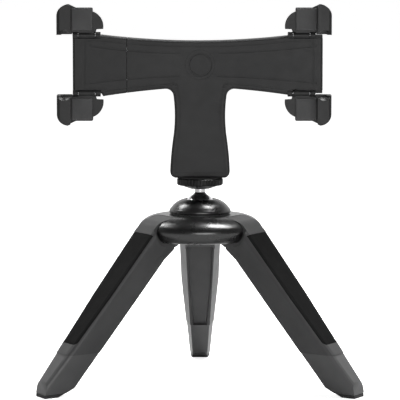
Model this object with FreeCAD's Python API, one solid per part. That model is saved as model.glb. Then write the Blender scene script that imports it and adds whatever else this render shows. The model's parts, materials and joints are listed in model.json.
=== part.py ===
import FreeCAD, Part
import math
import os
from FreeCAD import Vector

# Mini tripod with a ball head and a claw holder that expands sideways for a phone or tablet.
# +X is the user's right, -Y is the side that the device faces, +Z is up. Origin: on the table,
# under the axis of the hub. Millimetres and degrees.

# Legs
LEG_AZIMUTHS = {"right": 330.0, "rear": 90.0, "left": 210.0}
SPLAY = 38.7               # open leg, measured from the vertical
HINGE_R = 25.0             # hinge axis, distance from the hub's axis
HINGE_Z = 94.5
KNUCKLE_R, KNUCKLE_HALF = 7.6, 10.3
NOSE = ((3.75, 5.3), (6.7, 8.9))   # inner end of a leg's head, beside the hub's plate
PLATEAU_X = 13.1           # outer face of a leg, in front of its hinge axis
SHOULDER_X = 9.8           # where the outer face has rounded over into the sides
INNER_X = -5.0             # inner face of a leg
LEG_STATIONS = ((4.0, 13.4, 9.4), (55.0, 12.1, 7.55), (140.0, 5.95, 4.0))   # down, half width, inner half
OUTER_CURVE = ((PLATEAU_X, 3.3), (12.6, 1.5), (11.4, 0.4), (SHOULDER_X, 0.0))   # X, inset from the half width
GRIP_TOP, GRIP_END, GRIP_RIM, GRIP_DEPTH = 8.6, 91.0, 1.1, 1.5
GRIP_LOW = 0.15            # how far a grip lies below the rim round it
TROUGH = ((12.0, 8.2), (45.0, 7.3), (92.0, 4.1))   # down, half width
TROUGH_DEPTH = 1.5
SEAM_Z = 25.5              # joint between a leg and its foot, open leg
SOLE_Z = 2.2
TOE_R, TOE_TOP_R, TOE_TOP_Z = 111.2, 109.6, 9.7
HEEL_R, HEEL_SLOPE = 101.5, 2.28   # where the sole ends on the inner side, and how flat the bevel above it is
FOOT_STEP = 0.35           # how far the foot lies inside the leg's surface
HINGE_PIN_R, HINGE_PIN_HALF = 1.6, 18.4
RUNNING = 0.05             # radial clearance of a pin that turns

# Hub
HUB_R = 38.0
HUB_BOTTOM, HUB_TOP = 89.9, 106.0
HUB_SIDE = ((19.5, HUB_TOP), (28.0, 105.3), (34.9, 102.2), (HUB_R, 97.2), (36.3, 92.6), (31.0, HUB_BOTTOM))
HUB_PLATE_Z, HUB_PLATE_R = 103.4, 24.2
SLOT_HALF, SLOT_START = 10.7, 15.8
HUB_BORE = 13.4
HUB_SCREW_R = 27.0         # distance of each lobe's screw from the hub's axis
SEAT_BORE = 12.5
THREAD_R = 14.8

# Ball head
BALL_Z, BALL_R = 109.0, 10.0
LINER_IN, LINER_OUT, SEAT_CAVITY = 10.2, 10.8, 11.05
DOME_RIM_R, DOME_TOP_Z, DOME_MOUTH = 19.0, 115.2, 9.2
STUD_R = 3.175             # quarter-inch camera thread
WHEEL_R, WHEEL_BOTTOM, WHEEL_TOP = 14.2, 121.6, 128.2
WHEEL_TEETH = 40

# Holder
FRONT_Y, REAR_Y = -7.0, 7.0
WALL = 2.2
ARM_MID_Z = 198.55
ARM_LEFT, ARM_RIGHT, SEAM_X = -78.1, 75.3, -44.9
ARM_END_TOP = 216.5
ARM_TOP_MID = 212.9
ARMPIT, ARMPIT_ROUND = (-17.0, 183.8), 4.8   # corner between the left arm and the neck
EDGE_ROUND = 1.6
NECK_BOTTOM, NECK_END = 128.6, 17.9   # NECK_END is half the width at the bottom
NECK_NUT_R, NECK_NUT_TOP = 5.0, 142.0
ARM_CAVITY = (186.2, 210.4)   # along Z
NECK_CAVITY_HALF = 13.0
SEAM_GAP = 0.3
EMBLEM_R = 9.2
BORDER, BORDER_W, BORDER_DEPTH = 2.6, 1.2, 0.5
BAND_LEFT, BAND_RIGHT = -71.2, 70.0   # where the plain bands at the arms' ends begin

# Claws, given for the upper left one. The others are its mirror images.
CLAW_MIRROR_X = -3.6
CLAW_OUTER, CLAW_PLATE_END, CLAW_EAR_END = -87.5, -65.7, -59.4
CLAW_Z0, CLAW_PAD_TOP, CLAW_PEAK = 217.0, 233.3, 235.4
PLATE_FRONT, EAR_FRONT, PLATE_BACK = -6.6, -5.7, -3.0
LIP_FRONT, LIP_T, LIP_W, LIP_Z0 = -18.6, 2.7, 8.4, 218.3
AXIS_Y, AXIS_Z = -5.2, 216.2
BARREL_R, CLAW_PIN_R = 2.2, 0.8
BARREL = (-74.6, -64.4)    # along X
ARM_EAR_OUT = -78.1
ARM_EAR_IN = -61.0
RECESS_Z = 214.4

# Slider
TONGUE = (-74.0, 45.0, 193.6, 203.5, 2.0)
ROD_R, ROD_Z, ROD_END = 1.5, (189.6, 207.5), 40.0
POST_X = 70.0
SPRING_R = 2.6

X, Y, Z = Vector(1, 0, 0), Vector(0, 1, 0), Vector(0, 0, 1)
ORIGIN = Vector(0, 0, 0)


def box(x0, x1, y0, y1, z0, z1):
    return Part.makeBox(x1 - x0, y1 - y0, z1 - z0, Vector(x0, y0, z0))


def rod(radius, start, end):
    start, end = Vector(*start), Vector(*end)
    return Part.makeCylinder(radius, (end - start).Length, start, end - start)


def prism_y(points, y0, y1):
    """Straight-sided outline in X and Z, thick along Y."""
    wire = Part.makePolygon([Vector(x, y0, z) for x, z in points + points[:1]])
    return Part.Face(wire).extrude(Vector(0, y1 - y0, 0))


def slab_y(edges, y0, y1):
    """Outline of straight and curved edges at Y = 0, thick along Y."""
    slab = Part.Face(Part.Wire(Part.__sortEdges__(edges))).extrude((y1 - y0) * Y)
    slab.translate(y0 * Y)
    return slab


def spin(edges):
    """Solid of revolution about Z from the closed outline that the edges make at Y = 0."""
    face = Part.Face(Part.Wire(Part.__sortEdges__(edges)))
    return face.revolve(ORIGIN, Z, 360)


def line(p, q):
    return Part.makeLine(Vector(p[0], 0, p[1]), Vector(q[0], 0, q[1]))


def arc(p, q, r):
    return Part.Arc(*[Vector(a[0], 0, a[1]) for a in (p, q, r)]).toShape()


def chain(points):
    return [line(p, q) for p, q in zip(points, points[1:])]


def rounded(shape, radius, wanted):
    """The shape with the edges filleted that the test picks."""
    return shape.makeFillet(radius, [e for e in shape.Edges if wanted(e)])


def turned(shape, azimuth):
    copy = shape.copy()
    copy.rotate(ORIGIN, Z, azimuth)
    return copy


def placed_leg(shape, azimuth):
    """Take a piece from the leg's own frame, hinge at the origin and leg hanging down, to its place."""
    copy = shape.copy()
    copy.rotate(ORIGIN, Y, -SPLAY)
    copy.translate(Vector(HINGE_R, 0, HINGE_Z))
    return turned(copy, azimuth)


# ---------------------------------------------------------------- hub

def leg_slots():
    low = box(SLOT_START, HUB_R + 5, -SLOT_HALF, SLOT_HALF, HUB_BOTTOM - 5, HUB_PLATE_Z)
    high = box(HUB_PLATE_R, HUB_R + 5, -SLOT_HALF, SLOT_HALF, HUB_BOTTOM, HUB_TOP + 1)
    slot = low.fuse(high)
    return [turned(slot, a) for a in LEG_AZIMUTHS.values()]


def hub_shell():
    """Ring whose side swells out and rolls under, with a slot for each leg."""
    side = Part.BSplineCurve()
    side.interpolate([Vector(r, 0, z) for r, z in HUB_SIDE],
                     InitialTangent=X - 0.03 * Z, FinalTangent=-X - 0.1 * Z)
    inner = chain([HUB_SIDE[-1], (HUB_BORE, HUB_BOTTOM), (HUB_BORE, HUB_TOP), HUB_SIDE[0]])
    shell = spin(inner + [side.toShape()])
    for slot in leg_slots():
        shell = shell.cut(slot)
    for azimuth in LEG_AZIMUTHS.values():
        shell = shell.cut(turned(hinge_pin(), azimuth))
        shell = shell.cut(turned(hub_screw_blank(), azimuth + 180))
    return shell


def hinge_pin():
    return rod(HINGE_PIN_R, (HINGE_R, -HINGE_PIN_HALF, HINGE_Z), (HINGE_R, HINGE_PIN_HALF, HINGE_Z))


def hub_screw_blank():
    head = rod(3.0, (HUB_SCREW_R, 0, HUB_BOTTOM), (HUB_SCREW_R, 0, HUB_BOTTOM + 1.6))
    return head.fuse(rod(1.4, (HUB_SCREW_R, 0, HUB_BOTTOM + 1.6), (HUB_SCREW_R, 0, HUB_BOTTOM + 10)))


def hub_screw():
    """Screw sunk into the underside of a lobe, with a hexagonal socket."""
    corners = [math.radians(60 * i) for i in range(7)]
    socket = Part.makePolygon([Vector(HUB_SCREW_R + 1.2 * math.cos(a), 1.2 * math.sin(a), HUB_BOTTOM)
                               for a in corners])
    return hub_screw_blank().cut(Part.Face(socket).extrude(Vector(0, 0, 1.0)))


def hub_screws():
    return Part.makeCompound([turned(hub_screw(), a + 180) for a in LEG_AZIMUTHS.values()])


def hub_core():
    """Column in the hub that carries the collar's thread above it and the ball's seat inside."""
    floor = HUB_BOTTOM + 2.5
    profile = [(0, floor), (HUB_BORE, floor), (HUB_BORE, HUB_TOP), (THREAD_R, HUB_TOP),
               (THREAD_R, HUB_TOP + 4.2), (SEAT_BORE, HUB_TOP + 4.2), (SEAT_BORE, floor + 3), (0, floor + 3),
               (0, floor)]
    return spin(chain(profile))


def hub_base_cap():
    """Disc that closes the hub's bore from below, with a coin slot."""
    disc = rod(HUB_BORE - 0.05, (0, 0, HUB_BOTTOM - 0.8), (0, 0, HUB_BOTTOM + 2.5))
    disc = rounded(disc, 0.6, lambda e: e.BoundBox.ZMax < HUB_BOTTOM - 0.7)
    return disc.cut(box(-7, 7, -0.9, 0.9, HUB_BOTTOM - 1, HUB_BOTTOM + 0.2))


# ---------------------------------------------------------------- ball head

def ball_seat():
    """Plastic cup that turns with the ball about the upright axis."""
    floor = HUB_BOTTOM + 5.6
    cup = rod(SEAT_BORE - 0.08, (0, 0, floor), (0, 0, BALL_Z - 1.0))
    return cup.cut(Part.makeSphere(SEAT_CAVITY, Vector(0, 0, BALL_Z)))


def ball_liner():
    """Thin patch of a sphere under the ball."""
    centre = Vector(0, 0, BALL_Z)
    shell = Part.makeSphere(LINER_OUT, centre).cut(Part.makeSphere(LINER_IN, centre))
    return shell.common(rod(5.2, (0, 0, BALL_Z - LINER_OUT - 1), (0, 0, BALL_Z - 5)))


def ball_stud():
    """Ball, waisted stem and camera thread in one turned piece."""
    stud = rod(STUD_R, (0, 0, BALL_Z + 5), (0, 0, NECK_NUT_TOP - 1))
    stud = rounded(stud, 0.6, lambda e: e.BoundBox.ZMin > NECK_NUT_TOP - 1.1)
    collar = spin(chain([(0, BALL_Z + 8.8), (4.5, BALL_Z + 8.8), (STUD_R, BALL_Z + 10.4), (0, BALL_Z + 10.4),
                         (0, BALL_Z + 8.8)]))
    return Part.makeSphere(BALL_R, Vector(0, 0, BALL_Z)).fuse([stud, collar]).removeSplitter()


def lock_dome():
    """Glossy collar that screws down over the ball."""
    low = HUB_TOP + 0.4
    inner_r, inner_z = THREAD_R + 0.3, HUB_TOP + 4.8
    cavity = BALL_R + 0.3
    mouth_r = math.sqrt(cavity ** 2 - (DOME_TOP_Z - 0.7 - BALL_Z) ** 2)
    outline = chain([(DOME_RIM_R - 0.5, low), (inner_r, low), (inner_r, inner_z),
                     (math.sqrt(cavity ** 2 - (inner_z - BALL_Z) ** 2), inner_z)])
    lift = math.radians(35)
    outline.append(arc((math.sqrt(cavity ** 2 - (inner_z - BALL_Z) ** 2), inner_z),
                       (cavity * math.cos(lift * 0.6), BALL_Z + cavity * math.sin(lift * 0.6)),
                       (mouth_r, DOME_TOP_Z - 0.7)))
    outline += chain([(mouth_r, DOME_TOP_Z - 0.7), (DOME_MOUTH, DOME_TOP_Z), (DOME_MOUTH + 0.6, DOME_TOP_Z)])
    outline.append(arc((DOME_MOUTH + 0.6, DOME_TOP_Z), (15.4, DOME_TOP_Z - 2.7), (18.3, low + 2.9)))
    outline += [arc((18.3, low + 2.9), (DOME_RIM_R, low + 1.3), (DOME_RIM_R - 0.5, low))]
    return spin(outline)


def dome_washer():
    ring = rod(17.8, (0, 0, HUB_TOP), (0, 0, HUB_TOP + 0.35))
    return ring.cut(rod(THREAD_R, (0, 0, HUB_TOP - 1), (0, 0, HUB_TOP + 1)))


def lock_wheel():
    """Knurled wheel that jams against the holder."""
    profile = [(STUD_R + RUNNING, WHEEL_BOTTOM), (6.2, WHEEL_BOTTOM), (11.6, WHEEL_BOTTOM + 1.9),
               (WHEEL_R - 0.6, WHEEL_BOTTOM + 2.2), (WHEEL_R, WHEEL_BOTTOM + 2.9), (WHEEL_R, WHEEL_TOP - 0.7),
               (WHEEL_R - 0.7, WHEEL_TOP), (STUD_R + RUNNING, WHEEL_TOP), (STUD_R + RUNNING, WHEEL_BOTTOM)]
    wheel = spin(chain(profile))
    grooves = []
    for i in range(WHEEL_TEETH):
        angle = 2 * math.pi * i / WHEEL_TEETH
        x, y = (WHEEL_R + 0.25) * math.cos(angle), (WHEEL_R + 0.25) * math.sin(angle)
        grooves.append(rod(0.6, (x, y, WHEEL_BOTTOM + 1), (x, y, WHEEL_TOP + 1)))
    return wheel.cut(Part.makeCompound(grooves))


# ---------------------------------------------------------------- legs

def leg_section(down, half, inner_half):
    curve = [(x, half - inset) for x, inset in OUTER_CURVE]
    side = curve + [(INNER_X, inner_half)]
    points = side + [(x, -y) for x, y in reversed(side)]
    return Part.makePolygon([Vector(x, y, -down) for x, y in points + points[:1]])


def leg_loft():
    """Tapered leg from below its knuckle to past the sole, hanging from the hinge."""
    return Part.makeLoft([leg_section(*s) for s in LEG_STATIONS], True, True)


def leg_body():
    """The tapered leg, narrowed above its shoulders where it enters the hub's slot."""
    shoulders = [(-7, -6.5), (-2.4, -6.5), (0, -8.4), (2.5, -9.5), (5, -9.9), (8, -9.4), (10.4, -8.2),
                 (12, -6.7), (15, -3.6), (15, -150), (-7, -150)]
    wide = prism_y(shoulders, -20, 20)
    narrow = box(-10, 20, -KNUCKLE_HALF, KNUCKLE_HALF, -20, 0)
    return leg_loft().common(wide.fuse(narrow))


def to_leg_frame(shape):
    """Take a shape from the open leg's upright frame (azimuth 0) back to the leg's own frame."""
    copy = shape.copy()
    copy.translate(Vector(-HINGE_R, 0, -HINGE_Z))
    copy.rotate(ORIGIN, Y, SPLAY)
    return copy


def level_slab(z0, z1):
    return to_leg_frame(box(-50, 160, -30, 30, z0, z1))


def toe_cut():
    """What the steep front of the foot removes."""
    slope = (TOE_TOP_R - TOE_R) / TOE_TOP_Z
    points = [(TOE_R - 5 * slope, -5), (TOE_TOP_R, TOE_TOP_Z), (150, TOE_TOP_Z + 40), (150, -5)]
    return to_leg_frame(prism_y(points, -30, 30))


def heel_cut():
    """What the bevel on the inner side of the foot removes."""
    points = [(HEEL_R + 3 * HEEL_SLOPE, -3), (HEEL_R - 8 * HEEL_SLOPE, 8), (70, 8), (70, -3)]
    return to_leg_frame(prism_y(points, -30, 30))


def foot_body():
    """The end of the leg's body, a step smaller than the beam."""
    body = leg_body()
    small = body.copy()
    for move in (FOOT_STEP * Y, -FOOT_STEP * Y, -FOOT_STEP * X):
        shifted = body.copy()
        shifted.translate(move)
        small = small.common(shifted)
    return small.cut(toe_cut()).cut(heel_cut())


def side_half(x):
    """Half width of the leg's flat sides at the top, at any X."""
    _, half, inner_half = LEG_STATIONS[0]
    return inner_half + (x - INNER_X) * (half - inner_half) / (SHOULDER_X - INNER_X)


def knuckle():
    """Round head of a leg. It carries the leg's outer face over a bend and on to the hub's top."""
    half = KNUCKLE_HALF
    head = rod(KNUCKLE_R, (0, -half, 0), (0, half, 0))
    bend_start, bend_end = (10.9, 3.0), (PLATEAU_X, -3.4)
    outline = chain([bend_end, (PLATEAU_X, -14), (INNER_X, -14), (-6.6, -5.4), (0, 0), *NOSE, bend_start])
    outline.append(arc(bend_start, (12.5, -0.05), bend_end))
    neck = slab_y(outline, -half, half)
    sides = [(-KNUCKLE_R - 1, side_half(-KNUCKLE_R - 1)), (25, side_half(25))]
    points = sides + [(x, -y) for x, y in reversed(sides)]
    between = Part.Face(Part.makePolygon([Vector(x, y, -20) for x, y in points + points[:1]])).extrude(50 * Z)
    return head.fuse(neck).common(between)


def grip_layer(low, inset):
    """Plate let into the outer face: from low below the surface to the grip's depth, inset from its recess."""
    slope = [(a[1] - b[1]) / (b[0] - a[0]) for a, b in zip(LEG_STATIONS, LEG_STATIONS[1:])]
    (top, half, _), (mid, mid_half, _), _ = LEG_STATIONS
    edge = GRIP_RIM + inset
    end = GRIP_END - inset
    upper_half = half - slope[0] * (GRIP_TOP - top) - edge
    end_half = mid_half - slope[1] * (end - mid) - edge
    points = [(upper_half, -GRIP_TOP), (mid_half - edge, -mid), (end_half, -end), (-end_half, -end),
              (-mid_half + edge, -mid), (-upper_half, -GRIP_TOP)]
    wire = Part.makePolygon([Vector(SHOULDER_X - 3, y, z) for y, z in points + points[:1]])
    plate = Part.Face(wire).extrude(Vector(8, 0, 0))
    plate = rounded(plate, 3.0, lambda e: e.BoundBox.ZMax < -end + 0.1 and e.BoundBox.YLength < 0.1)
    outer, inner = leg_loft(), leg_loft()
    outer.translate(Vector(-low, 0, 0))
    inner.translate(Vector(-GRIP_DEPTH, 0, 0))
    return plate.common(outer).cut(inner)


def trough_section(down, half):
    mouth, floor = INNER_X - 1, INNER_X + TROUGH_DEPTH
    points = [(mouth, half + 0.6), (floor, half - 1), (floor, 1 - half), (mouth, -half - 0.6)]
    return Part.makePolygon([Vector(x, y, -down) for x, y in points + points[:1]])


def leg_beam():
    beam = leg_body().cut(level_slab(-80, SEAM_Z)).fuse(knuckle()).removeSplitter()
    beam = beam.cut(Part.makeLoft([trough_section(*s) for s in TROUGH], True, True))
    beam = beam.cut(grip_layer(-1, 0))
    return beam.cut(rod(HINGE_PIN_R + RUNNING, (0, -20, 0), (0, 20, 0)))


def leg_grip():
    return grip_layer(GRIP_LOW, 0.1)


def leg_foot():
    return foot_body().common(level_slab(SOLE_Z, SEAM_Z))


def leg_sole():
    return foot_body().common(level_slab(0, SOLE_Z))


def leg_washers():
    half = KNUCKLE_HALF
    rings = [rod(4.0, (0, side * half, 0), (0, side * (half + 0.3), 0)) for side in (-1, 1)]
    bore = rod(HINGE_PIN_R + RUNNING, (0, -20, 0), (0, 20, 0))
    return Part.makeCompound([ring.cut(bore) for ring in rings])


# ---------------------------------------------------------------- holder and slider

def mirror_x(points):
    return [(-x, z) for x, z in points]


def holder_outline(left=ARM_LEFT, right=ARM_RIGHT):
    """Edges of the T in X and Z, with its arms from left to right."""
    end_bottom = 2 * ARM_MID_Z - ARM_END_TOP
    top_left, top_right = (-60.5, ARM_END_TOP), (57.7, ARM_END_TOP)
    arm_low = [(-59.5, 178.9), (-40.0, 181.6), ARMPIT]
    waist = [ARMPIT, (-15.5, 167.0), (-16.7, 152.0)]
    base = [(-16.7, 152.0), (-17.8, 142.5), (-18.4, 133.0)]

    def side(sign):
        low = arm_low if sign < 0 else mirror_x(arm_low)
        upper = waist if sign < 0 else mirror_x(waist)
        lower = base if sign < 0 else mirror_x(base)
        return [line((left if sign < 0 else right, end_bottom), (low[0][0] + sign, end_bottom)),
                line((low[0][0] + sign, end_bottom), low[0]),
                arc(*low), arc(*upper), arc(*lower),
                line(lower[2], (sign * NECK_END, NECK_BOTTOM))]

    edges = [line((left, end_bottom), (left, ARM_END_TOP)), line((left, ARM_END_TOP), top_left),
             arc(top_left, (-1.4, ARM_TOP_MID), top_right), line(top_right, (right, ARM_END_TOP)),
             line((right, ARM_END_TOP), (right, end_bottom)),
             line((-NECK_END, NECK_BOTTOM), (NECK_END, NECK_BOTTOM))]
    return edges + side(-1) + side(1)


def holder_block():
    """Solid T with its corners rounded, the full thickness."""
    face = Part.Face(Part.Wire(Part.__sortEdges__(holder_outline())))
    block = face.extrude(Vector(0, REAR_Y - FRONT_Y, 0))
    block.translate(Vector(0, FRONT_Y, 0))

    def upright(e, x, z):
        box_ = e.BoundBox
        return box_.YLength > 10 and abs(abs(e.CenterOfMass.x) - x) < 0.6 and abs(e.CenterOfMass.z - z) < 0.6

    block = rounded(block, ARMPIT_ROUND, lambda e: upright(e, -ARMPIT[0], ARMPIT[1]))
    block = rounded(block, 3.6, lambda e: upright(e, NECK_END, NECK_BOTTOM))
    return rounded(block, EDGE_ROUND, lambda e: e.BoundBox.YLength < 0.01)


def claw_axes():
    """Mirror flags and names of the four claws."""
    return {"claw_top_left": (False, False), "claw_top_right": (True, False),
            "claw_bottom_left": (False, True), "claw_bottom_right": (True, True)}


def mirrored(shape, right, lower):
    if right:
        shape = shape.mirror(Vector(CLAW_MIRROR_X, 0, 0), X)
    if lower:
        shape = shape.mirror(Vector(0, 0, ARM_MID_Z), Z)
    return shape


def arm_ears():
    """The arm's two round ears, one each side of the upper left claw's barrel."""
    return Part.makeCompound([rod(BARREL_R, (x0, AXIS_Y, AXIS_Z), (x1, AXIS_Y, AXIS_Z))
                              for x0, x1 in ((ARM_EAR_OUT, BARREL[0] - 0.3), (BARREL[1] + 0.3, ARM_EAR_IN))])


def arm_recess():
    """What the arm leaves free round the upper left claw's hinge: all but two ears."""
    zone = box(ARM_EAR_OUT - 8, ARM_EAR_IN, FRONT_Y - 1, -2.4, RECESS_Z, ARM_END_TOP + 2).cut(arm_ears())
    pocket = rod(BARREL_R + 0.4, (BARREL[0] - 0.3, AXIS_Y, AXIS_Z), (BARREL[1] + 0.3, AXIS_Y, AXIS_Z))
    return zone.fuse([pocket, claw_pin()])


def groove(points, width, depth):
    """Shallow curved groove in the front face, through three points in X and Z."""
    lower = arc(*[(x, z - width / 2) for x, z in points])
    upper = arc(*[(x, z + width / 2) for x, z in points])
    ends = [Part.makeLine(lower.Vertexes[i].Point, upper.Vertexes[i].Point) for i in (0, -1)]
    face = Part.Face(Part.Wire(Part.__sortEdges__([lower, upper] + ends)))
    cutter = face.extrude(Vector(0, depth + 1, 0))
    cutter.translate(Vector(0, FRONT_Y - 1, 0))
    return cutter


def border_groove():
    """Narrow groove that follows the T's outline inside its edge, further in at the arms' ends."""
    outline = holder_outline(BAND_LEFT - BORDER, BAND_RIGHT + BORDER)
    face = Part.Face(Part.Wire(Part.__sortEdges__(outline)))
    band = face.makeOffset2D(-BORDER).cut(face.makeOffset2D(-BORDER - BORDER_W))
    cutter = band.extrude(Vector(0, 1 + BORDER_DEPTH, 0))
    cutter.translate(Vector(0, FRONT_Y - 1, 0))
    return cutter


def front_grooves():
    lines = ([(-67.5, 210.0), (-45.0, 207.3), (-12.6, 205.6)], [(-67.5, 187.1), (-45.0, 189.7), (-12.6, 191.5)],
             [(11.0, 205.6), (40.0, 207.0), (71.6, 210.0)], [(11.0, 191.5), (40.0, 190.1), (71.6, 187.1)])
    return [groove(points, 1.3, 0.7) for points in lines] + [border_groove()]


def front_and_rear():
    """Front and rear halves of the whole T, hollow, with the claws' recesses cut."""
    block = holder_block()
    for right, lower in claw_axes().values():
        block = block.fuse(mirrored(arm_ears(), right, lower).Solids).cut(mirrored(arm_recess(), right, lower))
    y0, y1 = FRONT_Y + WALL, REAR_Y - WALL
    arms = box(ARM_LEFT + WALL, ARM_RIGHT - WALL, y0, y1, *ARM_CAVITY)
    cavity = arms.fuse(box(-NECK_CAVITY_HALF, NECK_CAVITY_HALF, y0, y1, NECK_NUT_TOP + 2, ARM_MID_Z))
    block = block.cut(cavity)
    block = block.cut(rod(NECK_NUT_R, (0, 0, NECK_BOTTOM + 1.6), (0, 0, NECK_NUT_TOP)))
    block = block.cut(rod(STUD_R, (0, 0, NECK_BOTTOM - 1), (0, 0, NECK_NUT_TOP)))
    halves = []
    for y0, y1 in ((FRONT_Y - 1, 0), (0, REAR_Y + 1)):
        halves.append(block.common(box(-100, 100, y0, y1, 100, 250)))
    front, rear = halves
    for cutter in front_grooves():
        front = front.cut(cutter)
    front = front.cut(rod(EMBLEM_R, (0, FRONT_Y - 1, ARM_MID_Z - 0.2), (0, FRONT_Y + 0.8, ARM_MID_Z - 0.2)))
    for x, z in screw_places():
        rear = rear.cut(case_screw_blank(x, z))
    return front, rear


def screw_places():
    return [(-66.0, 194.0), (-66.0, 203.0), (62.0, 194.0), (62.0, 203.0), (0.0, 204.0), (0.0, 160.0)]


def case_screw_blank(x, z):
    head = Part.makeCone(1.4, 2.4, 1.3, Vector(x, REAR_Y - 1.3, z), Y)
    return head.fuse(rod(1.1, (x, REAR_Y - WALL, z), (x, REAR_Y - 1.2, z)))


def case_screw(x, z):
    """Countersunk screw set in the rear cover, with a cross recess."""
    cross = box(x - 1.2, x + 1.2, REAR_Y - 0.6, REAR_Y + 1, z - 0.25, z + 0.25)
    cross = cross.fuse(box(x - 0.25, x + 0.25, REAR_Y - 0.6, REAR_Y + 1, z - 1.2, z + 1.2))
    return case_screw_blank(x, z).cut(cross)


def left_of_seam(shape):
    return shape.common(box(-100, SEAM_X - SEAM_GAP / 2, -20, 20, 100, 250))


def right_of_seam(shape):
    return shape.common(box(SEAM_X + SEAM_GAP / 2, 100, -20, 20, 100, 250))


def slider_tongue():
    x0, x1, z0, z1, half = TONGUE
    bar = box(x0, x1, -half, half, z0, z1)
    bar = rounded(bar, 1.5, lambda e: e.BoundBox.YLength > 3.9)
    return bar.cut(rod(1.6, (x1 - 4, -5, ARM_MID_Z), (x1 - 4, 5, ARM_MID_Z)))


def slider_rods():
    return Part.makeCompound([rod(ROD_R, (ARM_LEFT + 3, 0, z), (ROD_END, 0, z)) for z in ROD_Z])


def slider_spring():
    """Closed coil tension spring from the tongue to its post, as a tube."""
    x0, x1 = TONGUE[1] + 0.5, POST_X - 2.2
    tube = rod(SPRING_R, (x0, 0, ARM_MID_Z), (x1, 0, ARM_MID_Z))
    return tube.cut(rod(SPRING_R - 0.8, (x0 - 1, 0, ARM_MID_Z), (x1 + 1, 0, ARM_MID_Z)))


def spring_post():
    return rod(1.8, (POST_X, FRONT_Y + WALL, ARM_MID_Z), (POST_X, REAR_Y - WALL, ARM_MID_Z))


def neck_nut():
    body = rod(NECK_NUT_R, (0, 0, NECK_BOTTOM + 1.6), (0, 0, NECK_NUT_TOP))
    return body.cut(rod(STUD_R, (0, 0, NECK_BOTTOM), (0, 0, NECK_NUT_TOP + 1)))


def neck_pad():
    disc = rod(12.6, (0, 0, WHEEL_TOP + 0.1), (0, 0, NECK_BOTTOM))
    disc = disc.common(box(-13, 13, FRONT_Y + 0.6, REAR_Y - 0.6, WHEEL_TOP, NECK_BOTTOM))
    return disc.cut(rod(STUD_R, (0, 0, WHEEL_TOP), (0, 0, NECK_BOTTOM + 1)))


def emblem_disc():
    """Plain round plate with one ring groove."""
    place = ARM_MID_Z - 0.2
    disc = rod(EMBLEM_R - 0.1, (0, FRONT_Y + 0.1, place), (0, FRONT_Y + 0.8, place))
    ring = rod(7.4, (0, FRONT_Y - 1, place), (0, FRONT_Y + 0.6, place))
    return disc.cut(ring.cut(rod(6.2, (0, FRONT_Y - 1, place), (0, FRONT_Y + 1, place))))


# ---------------------------------------------------------------- claws

def claw():
    """Upper left claw: back plate, ear, side wall and the lip that hooks over the device's edge."""
    low, high, outer = CLAW_Z0, CLAW_PAD_TOP, CLAW_OUTER
    start, peak, end = (outer, CLAW_PEAK - 6.8), (outer + 6.9, CLAW_PEAK), (outer + 11.4, high)
    crest = [arc(start, (outer + 2.1, CLAW_PEAK - 2.1), peak), line(peak, end)]
    plate = slab_y(crest + chain([end, (CLAW_PLATE_END, high), (CLAW_PLATE_END, low), (outer, low), start]),
                   PLATE_FRONT, PLATE_BACK)
    plate = rounded(plate, 0.9, lambda e: e.BoundBox.YLength > 1 and e.BoundBox.XMin > CLAW_PLATE_END - 0.1
                    and e.BoundBox.ZMin > high - 0.1)
    side_wall = box(outer, outer + 2.8, LIP_FRONT, PLATE_BACK, low, CLAW_PEAK)
    lip = box(outer, outer + LIP_W, LIP_FRONT, LIP_FRONT + LIP_T, LIP_Z0, CLAW_PEAK)
    hook = side_wall.fuse(lip)
    hook = rounded(hook, 2.2, lambda e: e.BoundBox.ZLength > 10 and abs(e.CenterOfMass.x - outer) < 0.1
                   and abs(e.CenterOfMass.y - LIP_FRONT) < 0.1)
    below = chain([end, (end[0], low - 1), (outer - 1, low - 1), (outer - 1, start[1]), start])
    within = slab_y(crest + below, LIP_FRONT - 1, PLATE_BACK + 1)
    hook = hook.common(within)
    hook = hook.cut(Part.makeSphere(5.2, Vector(outer + 4.4, LIP_FRONT - 2.2, LIP_Z0 - 2.8)))
    ear = chain([(CLAW_EAR_END, 220.2), (-63.4, 220.0), (-64.4, low), (CLAW_PLATE_END - 1, low),
                 (CLAW_PLATE_END - 1, 231.0), (CLAW_PLATE_END, 230.9)])
    ear.append(arc((CLAW_PLATE_END, 230.9), (-61.0, 227.3), (CLAW_EAR_END, 220.2)))
    ear = slab_y(ear, EAR_FRONT, PLATE_BACK)
    barrel = rod(BARREL_R, (BARREL[0], AXIS_Y, AXIS_Z), (BARREL[1], AXIS_Y, AXIS_Z))
    web = box(BARREL[0], BARREL[1], PLATE_FRONT, PLATE_BACK, AXIS_Z, low + 0.5)
    hook = hook.fuse([plate, ear, barrel, web])
    for x0, x1 in ((ARM_EAR_OUT - 0.4, BARREL[0]), (BARREL[1], ARM_EAR_IN + 0.4)):
        hook = hook.cut(rod(BARREL_R + 0.35, (x0, AXIS_Y, AXIS_Z), (x1, AXIS_Y, AXIS_Z)))
    hook = hook.cut(rod(CLAW_PIN_R + RUNNING, (BARREL[0] - 1, AXIS_Y, AXIS_Z), (BARREL[1] + 1, AXIS_Y, AXIS_Z)))
    return hook.removeSplitter()


def claw_pad():
    pad = box(CLAW_OUTER + 8.8, CLAW_PLATE_END - 0.4, PLATE_FRONT - 1.0, PLATE_FRONT, CLAW_Z0 + 2.4,
              CLAW_PAD_TOP - 0.5)
    return rounded(pad, 0.4, lambda e: e.BoundBox.YMax < PLATE_FRONT - 0.9)


def claw_pin():
    return rod(CLAW_PIN_R, (ARM_EAR_OUT + 0.4, AXIS_Y, AXIS_Z), (ARM_EAR_IN - 0.4, AXIS_Y, AXIS_Z))


# ---------------------------------------------------------------- assembly

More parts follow.
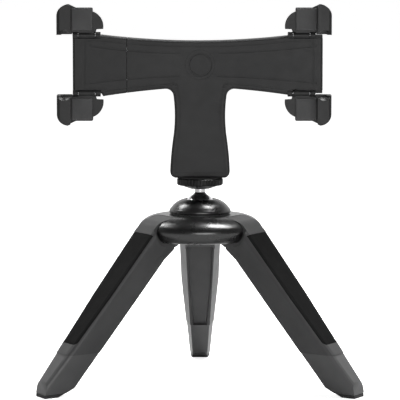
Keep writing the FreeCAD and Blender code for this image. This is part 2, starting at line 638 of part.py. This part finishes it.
def make_nodes():
    nodes = {"hub_shell": hub_shell(), "hub_core": hub_core(), "hub_base_cap": hub_base_cap(),
             "hub_screws": hub_screws(), "dome_washer": dome_washer(), "lock_dome": lock_dome(),
             "ball_seat": ball_seat(), "ball_liner": ball_liner(), "ball_stud": ball_stud(),
             "lock_wheel": lock_wheel(), "neck_nut": neck_nut(), "neck_pad": neck_pad()}
    pieces = {"beam": leg_beam(), "grip": leg_grip(), "foot": leg_foot(), "sole": leg_sole(),
              "washers": leg_washers()}
    for side, azimuth in LEG_AZIMUTHS.items():
        nodes[side + "_hinge_pin"] = turned(hinge_pin(), azimuth)
        for name, piece in pieces.items():
            nodes[side + "_leg_" + name] = placed_leg(piece, azimuth)
    front, rear = front_and_rear()
    nodes["holder_front"], nodes["holder_rear"] = right_of_seam(front), right_of_seam(rear)
    nodes["slider_front"], nodes["slider_rear"] = left_of_seam(front), left_of_seam(rear)
    screws = {(x, z): case_screw(x, z) for x, z in screw_places()}
    nodes["slider_screws"] = Part.makeCompound([s for (x, _), s in screws.items() if x < SEAM_X])
    nodes["holder_screws"] = Part.makeCompound([s for (x, _), s in screws.items() if x > SEAM_X])
    nodes["slider_tongue"], nodes["slider_rods"] = slider_tongue(), slider_rods()
    nodes["slider_spring"], nodes["spring_post"] = slider_spring(), spring_post()
    nodes["emblem_disc"] = emblem_disc()
    for name, (right, lower) in claw_axes().items():
        nodes[name] = mirrored(claw(), right, lower)
        nodes[name + "_pad"] = mirrored(claw_pad(), right, lower)
        nodes[name + "_pin"] = mirrored(claw_pin(), right, lower)
    return nodes


os.makedirs("parts", exist_ok=True)
for node, shape in make_nodes().items():
    shape.exportStep("parts/" + node + ".step")
    print(node, len(shape.Solids), round(shape.Volume, 1), shape.isValid())
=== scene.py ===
import json
import math

import bmesh
import bpy
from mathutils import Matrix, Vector
from mathutils.noise import noise as noise_at


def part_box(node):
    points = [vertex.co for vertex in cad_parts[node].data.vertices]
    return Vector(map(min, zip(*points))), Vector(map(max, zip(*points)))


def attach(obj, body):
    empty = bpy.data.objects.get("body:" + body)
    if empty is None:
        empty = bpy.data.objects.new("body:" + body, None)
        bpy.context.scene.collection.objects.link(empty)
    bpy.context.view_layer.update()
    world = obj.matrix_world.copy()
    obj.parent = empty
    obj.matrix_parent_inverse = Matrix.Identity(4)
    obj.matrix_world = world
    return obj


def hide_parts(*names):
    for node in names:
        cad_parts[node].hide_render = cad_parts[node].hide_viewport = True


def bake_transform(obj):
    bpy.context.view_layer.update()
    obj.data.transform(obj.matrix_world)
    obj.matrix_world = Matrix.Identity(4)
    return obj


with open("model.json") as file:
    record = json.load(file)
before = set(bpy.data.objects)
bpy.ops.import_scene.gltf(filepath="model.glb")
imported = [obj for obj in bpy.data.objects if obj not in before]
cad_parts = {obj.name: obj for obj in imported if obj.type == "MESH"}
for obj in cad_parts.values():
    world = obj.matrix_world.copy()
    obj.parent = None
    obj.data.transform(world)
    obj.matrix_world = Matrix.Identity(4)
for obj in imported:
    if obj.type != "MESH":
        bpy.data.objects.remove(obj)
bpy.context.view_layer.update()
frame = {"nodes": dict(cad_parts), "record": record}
NODES = frame["nodes"]
SIDES = ("left", "right", "rear")
CLAWS = ("claw_top_left", "claw_top_right", "claw_bottom_left", "claw_bottom_right")

# View: a distant camera, a little above the hub
CAMERA_DISTANCE = 1.693
CAMERA_HEIGHT = 0.283
CAMERA_DOWN = math.radians(5.69)
CAMERA_LENS = 247.5

# Surface
SAME_POINT = 0.000002                        # vertices closer than this become one
EDGE_ANGLE = math.radians(32)                # edges of CAD nodes that bend more are rounded
EDGE_ROUNDS = {"leg_plastic": 0.00035, "foot_plastic": 0.0004, "holder_plastic": 0.00022,
               "claw_plastic": 0.0003, "wheel_black": 0.00012, "hub_gloss": 0.00025}
SKIN_RELIEF, SKIN_SCALE = 0.00005, 420.0     # unevenness of moulded rubber, metres and 1/metres
FLAT_ANGLE, SOFT_ANGLE = math.radians(1.0), math.radians(35)

# Round-off of the edges and cell size of the skin, for each kind of rubber moulding
GRIP_SKIN = (0.0005, 0.0025)
SOLE_SKIN = (0.0006, 0.0025)
PAD_SKIN = (0.0003, 0.0012)

# Spring
SPRING_WIRE, SPRING_TURNS = 0.00035, 22
TURN_STEPS, LOOP_STEPS = 16, 10
LOOP_PART = 0.9                              # length of an end loop over the coil's outer radius

# Light
FLOOR_RADIUS, FLOOR_SIDES = 12, 96
FLOOR_GLOW, FLOOR_BOUNCE = 0.80, 0.56
WORLD_FRONT, WORLD_BACK, WORLD_TOP = 0.16, 1.0, 0.15
KEY_POWER, LEFT_POWER, FRONT_POWER = 30.0, 9.0, 13.5
LIT_PLACE = (0, 0, 0.11)


def add_object(name, data):
    """Put a new object with this data into the scene."""
    item = bpy.data.objects.new(name, data)
    bpy.context.scene.collection.objects.link(item)
    return item


# ---------------------------------------------------------------- materials

def nodes_of(name):
    """A new material with its node tree, the principled shader and a texture coordinate node."""
    material = bpy.data.materials.new(name)
    material.use_nodes = True
    tree = material.node_tree
    shader = tree.nodes["Principled BSDF"]
    place = tree.nodes.new("ShaderNodeTexCoord")
    return material, tree, shader, place


def noise(tree, place, scale, detail=3.0, rough=0.6):
    """Factor that varies in cloudy patches over the surface."""
    texture = tree.nodes.new("ShaderNodeTexNoise")
    texture.inputs["Scale"].default_value = scale
    texture.inputs["Detail"].default_value = detail
    texture.inputs["Roughness"].default_value = rough
    tree.links.new(place.outputs["Object"], texture.inputs["Vector"])
    return texture.outputs["Fac"]


def ramp(tree, factor, low, high, start=0.3, end=0.7):
    """Colour between low and high as the factor goes from start to end."""
    node = tree.nodes.new("ShaderNodeValToRGB")
    node.color_ramp.elements[0].position = start
    node.color_ramp.elements[1].position = end
    node.color_ramp.elements[0].color = (*low, 1)
    node.color_ramp.elements[1].color = (*high, 1)
    tree.links.new(factor, node.inputs["Fac"])
    return node.outputs["Color"]


def spread(tree, factor, low, high, start=0.0, end=1.0, shape="LINEAR"):
    """Number between low and high as the factor goes from start to end."""
    node = tree.nodes.new("ShaderNodeMapRange")
    node.interpolation_type = shape
    node.inputs["From Min"].default_value = start
    node.inputs["From Max"].default_value = end
    node.inputs["To Min"].default_value = low
    node.inputs["To Max"].default_value = high
    tree.links.new(factor, node.inputs["Value"])
    return node.outputs["Result"]


def bump(tree, shader, height, strength, distance):
    """Fine relief of the surface from a height factor."""
    node = tree.nodes.new("ShaderNodeBump")
    node.inputs["Strength"].default_value = strength
    node.inputs["Distance"].default_value = distance
    tree.links.new(height, node.inputs["Height"])
    tree.links.new(node.outputs["Normal"], shader.inputs["Normal"])


def split_rays(tree, lit, seen, output):
    """Show one shader to the camera, while light meets the other."""
    rays = tree.nodes.new("ShaderNodeLightPath")
    mix = tree.nodes.new("ShaderNodeMixShader")
    tree.links.new(rays.outputs["Is Camera Ray"], mix.inputs["Fac"])
    tree.links.new(lit, mix.inputs[1])
    tree.links.new(seen, mix.inputs[2])
    tree.links.new(mix.outputs["Shader"], tree.nodes[output].inputs["Surface"])


def moulded(name, grey, roughness, grain=2600.0, relief=0.00004, specular=0.5):
    """Moulded plastic or rubber: a fine spark-eroded grain, cloudy gloss and colour."""
    material, tree, shader, place = nodes_of(name)
    dark = (grey * 0.86, grey * 0.86, grey * 0.88)
    light = (grey * 1.14, grey * 1.14, grey * 1.15)
    tree.links.new(ramp(tree, noise(tree, place, 38.0), dark, light), shader.inputs["Base Color"])
    gloss = spread(tree, noise(tree, place, 140.0), roughness * 0.85, roughness * 1.15)
    tree.links.new(gloss, shader.inputs["Roughness"])
    shader.inputs["Specular IOR Level"].default_value = specular
    bump(tree, shader, noise(tree, place, grain, 2.0), 0.5, relief)
    return material


def metal(name, colour, roughness):
    """Metal with fine machining marks."""
    material, tree, shader, place = nodes_of(name)
    marks = tree.nodes.new("ShaderNodeTexNoise")
    marks.inputs["Scale"].default_value = 900.0
    tree.links.new(place.outputs["Object"], marks.inputs["Vector"])
    factor = marks.outputs["Fac"]
    dark = tuple(c * 0.82 for c in colour)
    tree.links.new(ramp(tree, factor, dark, colour), shader.inputs["Base Color"])
    gloss = spread(tree, factor, roughness * 0.7, roughness * 1.3)
    tree.links.new(gloss, shader.inputs["Roughness"])
    shader.inputs["Metallic"].default_value = 1.0
    bump(tree, shader, factor, 0.25, 0.00002)
    return material


def rubber(name, grey, roughness, specular, relief=0.00008):
    """Moulded rubber, with a coarser and deeper grain than plastic."""
    return moulded(name, grey, roughness, grain=1500.0, relief=relief, specular=specular)


MATERIALS = {
    "hub_gloss": moulded("hub_gloss", 0.006, 0.28, grain=700.0, relief=0.000008, specular=0.75),
    "leg_plastic": moulded("leg_plastic", 0.042, 0.38, specular=0.28),
    "grip_rubber": rubber("grip_rubber", 0.0035, 0.60, specular=0.05),
    "foot_plastic": moulded("foot_plastic", 0.056, 0.36, specular=0.4),
    "sole_rubber": rubber("sole_rubber", 0.030, 0.66, specular=0.22),
    "holder_plastic": moulded("holder_plastic", 0.020, 0.46, specular=0.22),
    "claw_plastic": moulded("claw_plastic", 0.014, 0.46, specular=0.3),
    "pad_rubber": rubber("pad_rubber", 0.062, 0.60, specular=0.25, relief=0.00006),
    "wheel_black": moulded("wheel_black", 0.004, 0.38, grain=1200.0, relief=0.00002,
                           specular=0.22),
    "inner_plastic": moulded("inner_plastic", 0.09, 0.5),
    "chrome_steel": metal("chrome_steel", (0.92, 0.92, 0.93), 0.14),
    "screw_steel": metal("screw_steel", (0.46, 0.46, 0.48), 0.32),
    "pin_steel": metal("pin_steel", (0.60, 0.60, 0.62), 0.28),
    "thread_brass": metal("thread_brass", (0.66, 0.49, 0.22), 0.30),
    "spring_wire": metal("spring_wire", (0.60, 0.60, 0.61), 0.28),
}


# ---------------------------------------------------------------- pieces

SLOT_OF = {part["node"]: part["material_slot"] for part in frame["record"]["subparts"]}
BODY_OF = {node: body for body, nodes in frame["record"]["behaviour"]["bodies"].items()
           for node in nodes}


def soften_edges(node, width):
    """Break the sharp edges of a moulded or turned CAD node with a small round."""
    weld = node.modifiers.new("weld", "WELD")
    weld.merge_threshold = SAME_POINT
    bevel = node.modifiers.new("edges", "BEVEL")
    bevel.width = width
    bevel.segments = 2
    bevel.limit_method = "ANGLE"
    bevel.angle_limit = EDGE_ANGLE
    bevel.miter_outer = "MITER_ARC"
    smooth = node.modifiers.new("normals", "WEIGHTED_NORMAL")
    smooth.weight = 90


def dress_cad():
    """Give every CAD node the material of its slot, and rounded edges where it shows."""
    for name, slot in SLOT_OF.items():
        node = NODES[name]
        node.data.materials.clear()
        node.data.materials.append(MATERIALS[slot])
        if slot in EDGE_ROUNDS:
            soften_edges(node, EDGE_ROUNDS[slot])


def add_piece(name, mesh, replaced):
    """Show a new mesh instead of a CAD node, with that node's body and material slot."""
    piece = add_object(name, mesh)
    mesh.materials.append(MATERIALS[SLOT_OF[replaced]])
    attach(piece, BODY_OF[replaced])
    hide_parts(replaced)


def soft_mesh(source, round_off, cell):
    """Rubber moulding: the source's outline, soft edges and a dense, slightly uneven skin."""
    mesh = bpy.data.meshes.new(source)
    shape = bmesh.new()
    shape.from_mesh(NODES[source].data)
    bmesh.ops.remove_doubles(shape, verts=shape.verts, dist=SAME_POINT)
    bmesh.ops.dissolve_limit(shape, angle_limit=FLAT_ANGLE, verts=shape.verts, edges=shape.edges)
    sharp = [edge for edge in shape.edges
             if len(edge.link_faces) == 2 and edge.calc_face_angle() > SOFT_ANGLE]
    bmesh.ops.bevel(shape, geom=sharp, offset=round_off, segments=3, profile=0.5, affect="EDGES",
                    clamp_overlap=True)
    bmesh.ops.triangulate(shape, faces=shape.faces)
    for _ in range(6):
        long_edges = [edge for edge in shape.edges if edge.calc_length() > cell]
        if not long_edges:
            break
        bmesh.ops.subdivide_edges(shape, edges=long_edges, cuts=1)
        bmesh.ops.triangulate(shape, faces=shape.faces)
    shape.normal_update()
    for vertex in shape.verts:
        depth = SKIN_RELIEF * (0.5 + 0.5 * noise_at(vertex.co * SKIN_SCALE))
        vertex.co -= vertex.normal * depth
    for face in shape.faces:
        face.smooth = True
    shape.to_mesh(mesh)
    shape.free()
    return mesh


def soft_pieces():
    """Leg grips, soles and claw pads."""
    skins = {}
    for side in SIDES:
        skins[side + "_leg_grip"] = GRIP_SKIN
        skins[side + "_leg_sole"] = SOLE_SKIN
    for claw in CLAWS:
        skins[claw + "_pad"] = PAD_SKIN
    for source, skin in skins.items():
        add_piece(source + "_rubber", soft_mesh(source, *skin), source)


def spring_line(start, end, middle, radius):
    """Points along the middle of the wire: the coil, and half a loop at each end."""
    steps = SPRING_TURNS * TURN_STEPS
    coil = []
    for i in range(steps + 1):
        turn = math.tau * i / TURN_STEPS
        coil.append((start + (end - start) * i / steps, middle.y + radius * math.sin(turn),
                     middle.z + radius * math.cos(turn)))
    loops = []
    for at, outward in ((start, -1), (end, 1)):
        turns = [math.pi * i / LOOP_STEPS for i in range(1, LOOP_STEPS + 1)]
        loops.append([(at + outward * radius * math.sin(turn), middle.y,
                       middle.z + radius * math.cos(turn)) for turn in turns])
    return loops[0][::-1] + coil + loops[1]


def wire_mesh(name, points, thickness):
    """Round wire of this radius along the points."""
    curve = bpy.data.curves.new(name, "CURVE")
    curve.dimensions = "3D"
    curve.bevel_depth = thickness
    curve.bevel_resolution = 2
    curve.use_fill_caps = True
    spline = curve.splines.new("POLY")
    spline.points.add(len(points) - 1)
    for point, place in zip(spline.points, points):
        point.co = (*place, 1)
    line = bpy.data.objects.new(name, curve)
    mesh = bpy.data.meshes.new_from_object(line)
    bpy.data.objects.remove(line)
    for face in mesh.polygons:
        face.use_smooth = True
    return mesh


def spring():
    """Coil spring from the slider's tongue to its post."""
    low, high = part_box("slider_spring")
    middle = (low + high) / 2
    outer = (high.z - low.z) / 2
    start, end = low.x + LOOP_PART * outer, high.x - LOOP_PART * outer
    points = spring_line(start, end, middle, outer - SPRING_WIRE)
    mesh = wire_mesh("spring_line", points, SPRING_WIRE)
    mesh.materials.clear()
    mesh.materials.append(MATERIALS["spring_wire"])
    piece = add_object("slider_spring_coil", mesh)
    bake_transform(piece)
    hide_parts("slider_spring")


# ---------------------------------------------------------------- stage

def area_light(name, place, size, power):
    """Rectangular light that points at the middle of the object."""
    data = bpy.data.lights.new(name, "AREA")
    data.shape = "RECTANGLE"
    data.size, data.size_y = size
    data.energy = power
    light = add_object(name, data)
    light.location = place
    aim = Vector(LIT_PLACE) - Vector(place)
    light.rotation_euler = aim.to_track_quat("-Z", "Y").to_euler()


def make_light():
    area_light("key", (0.46, 0.15, 1.35), (0.50, 0.50), KEY_POWER)
    area_light("left_box", (-0.66, 0.36, 1.10), (0.45, 0.45), LEFT_POWER)
    area_light("front", (0.3, -1.9, 0.30), (1.2, 0.5), FRONT_POWER)


def make_floor():
    """Large round floor of pale paper. The camera sees it glow, but it throws little light."""
    turns = [math.tau * i / FLOOR_SIDES for i in range(FLOOR_SIDES)]
    rim = [(FLOOR_RADIUS * math.cos(turn), FLOOR_RADIUS * math.sin(turn), 0) for turn in turns]
    mesh = bpy.data.meshes.new("floor")
    mesh.from_pydata(rim, [], [list(range(FLOOR_SIDES))])
    floor = add_object("floor", mesh)
    material, tree, paper, place = nodes_of("floor_paper")
    tint = ramp(tree, noise(tree, place, 3.0), (0.88, 0.88, 0.88), (0.91, 0.91, 0.91))
    tree.links.new(tint, paper.inputs["Base Color"])
    paper.inputs["Roughness"].default_value = 0.95
    paper.inputs["Specular IOR Level"].default_value = 0.1
    paper.inputs["Emission Color"].default_value = (1, 1, 1, 1)
    paper.inputs["Emission Strength"].default_value = FLOOR_GLOW
    dull = tree.nodes.new("ShaderNodeBsdfDiffuse")
    dull.inputs["Color"].default_value = (FLOOR_BOUNCE, FLOOR_BOUNCE, FLOOR_BOUNCE, 1)
    split_rays(tree, dull.outputs["BSDF"], paper.outputs["BSDF"], "Material Output")
    mesh.materials.append(material)


def make_world():
    """White surround that lights less from overhead and from the front, as in a studio."""
    world = bpy.data.worlds.new("studio")
    world.use_nodes = True
    tree = world.node_tree
    place = tree.nodes.new("ShaderNodeTexCoord")
    split = tree.nodes.new("ShaderNodeSeparateXYZ")
    tree.links.new(place.outputs["Generated"], split.inputs["Vector"])
    depth = spread(tree, split.outputs["Y"], WORLD_FRONT, WORLD_BACK, -0.25, 0.6, "SMOOTHSTEP")
    height = spread(tree, split.outputs["Z"], 1.0, WORLD_TOP, 0.25, 0.8, "SMOOTHSTEP")
    both = tree.nodes.new("ShaderNodeMath")
    both.operation = "MULTIPLY"
    tree.links.new(depth, both.inputs[0])
    tree.links.new(height, both.inputs[1])
    shaded = tree.nodes["Background"]
    plain = tree.nodes.new("ShaderNodeBackground")
    plain.inputs["Strength"].default_value = 1.0
    for white in (shaded, plain):
        white.inputs["Color"].default_value = (1, 1, 1, 1)
    tree.links.new(both.outputs["Value"], shaded.inputs["Strength"])
    split_rays(tree, shaded.outputs["Background"], plain.outputs["Background"], "World Output")
    bpy.context.scene.world = world


def make_camera():
    data = bpy.data.cameras.new("camera")
    data.lens = CAMERA_LENS
    data.sensor_width = 36.0
    camera = add_object("camera", data)
    camera.location = (0.0, -CAMERA_DISTANCE, CAMERA_HEIGHT)
    camera.rotation_euler = (math.pi / 2 - CAMERA_DOWN, 0, 0)
    bpy.context.scene.camera = camera


bpy.context.scene.view_settings.view_transform = "Standard"
make_camera()
make_floor()
make_world()
make_light()
dress_cad()
soft_pieces()
spring()
